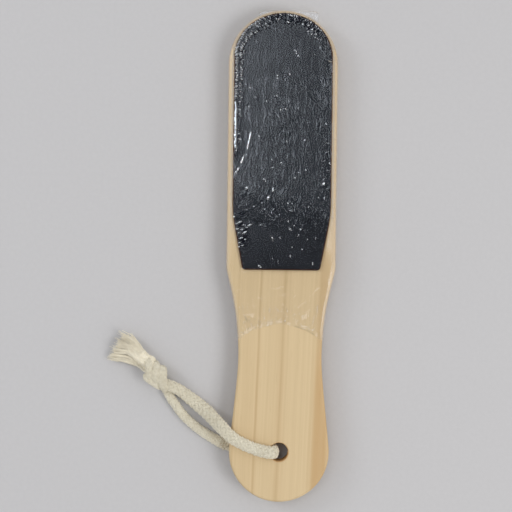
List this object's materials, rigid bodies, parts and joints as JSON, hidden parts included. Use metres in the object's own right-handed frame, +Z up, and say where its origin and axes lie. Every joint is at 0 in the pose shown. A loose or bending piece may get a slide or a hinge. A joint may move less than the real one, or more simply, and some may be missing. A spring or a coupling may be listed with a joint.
{
  "type": "foot file",
  "caption": "Wooden paddle foot file with an abrasive sheet glued to each face, clear shrink film over the head and a knotted cotton hanging cord through the handle",
  "frame": {"origin": "on the surface that the file lies on, below the middle of the paddle with its film", "axes": "+Y runs from the handle to the head, +Z up from the surface, +X to the right seen from above with the head away"},
  "size_m": [0.1165, 0.2507, 0.0167],
  "materials": {
    "pine": "sanded, unvarnished pale softwood with straight grain",
    "abrasive": "dark mineral grit bonded to a cloth backing",
    "adhesive": "thin dried contact adhesive",
    "film": "clear glossy shrink film with fine puckers",
    "cotton": "soft unbleached braided cotton"
  },
  "bodies": {
    "paddle_body": {"paddle": "pine", "front_abrasive": "abrasive", "rear_abrasive": "abrasive", "front_adhesive": "adhesive", "rear_adhesive": "adhesive", "shrink_film": "film"},
    "cord_loop": {"cord_front_leg": "cotton", "cord_rear_leg": "cotton", "cord_knot": "cotton", "cord_tail_upper": "cotton", "cord_tail_lower": "cotton"}
  },
  "joints": [
    {"name": "cord_swing", "type": "hinge", "parent": "paddle_body", "child": "cord_loop", "pos_m": [0, -0.09956, 0.00724], "axis": [0, 0.0069, 1], "range_deg": [-10, 190]}
  ]
}
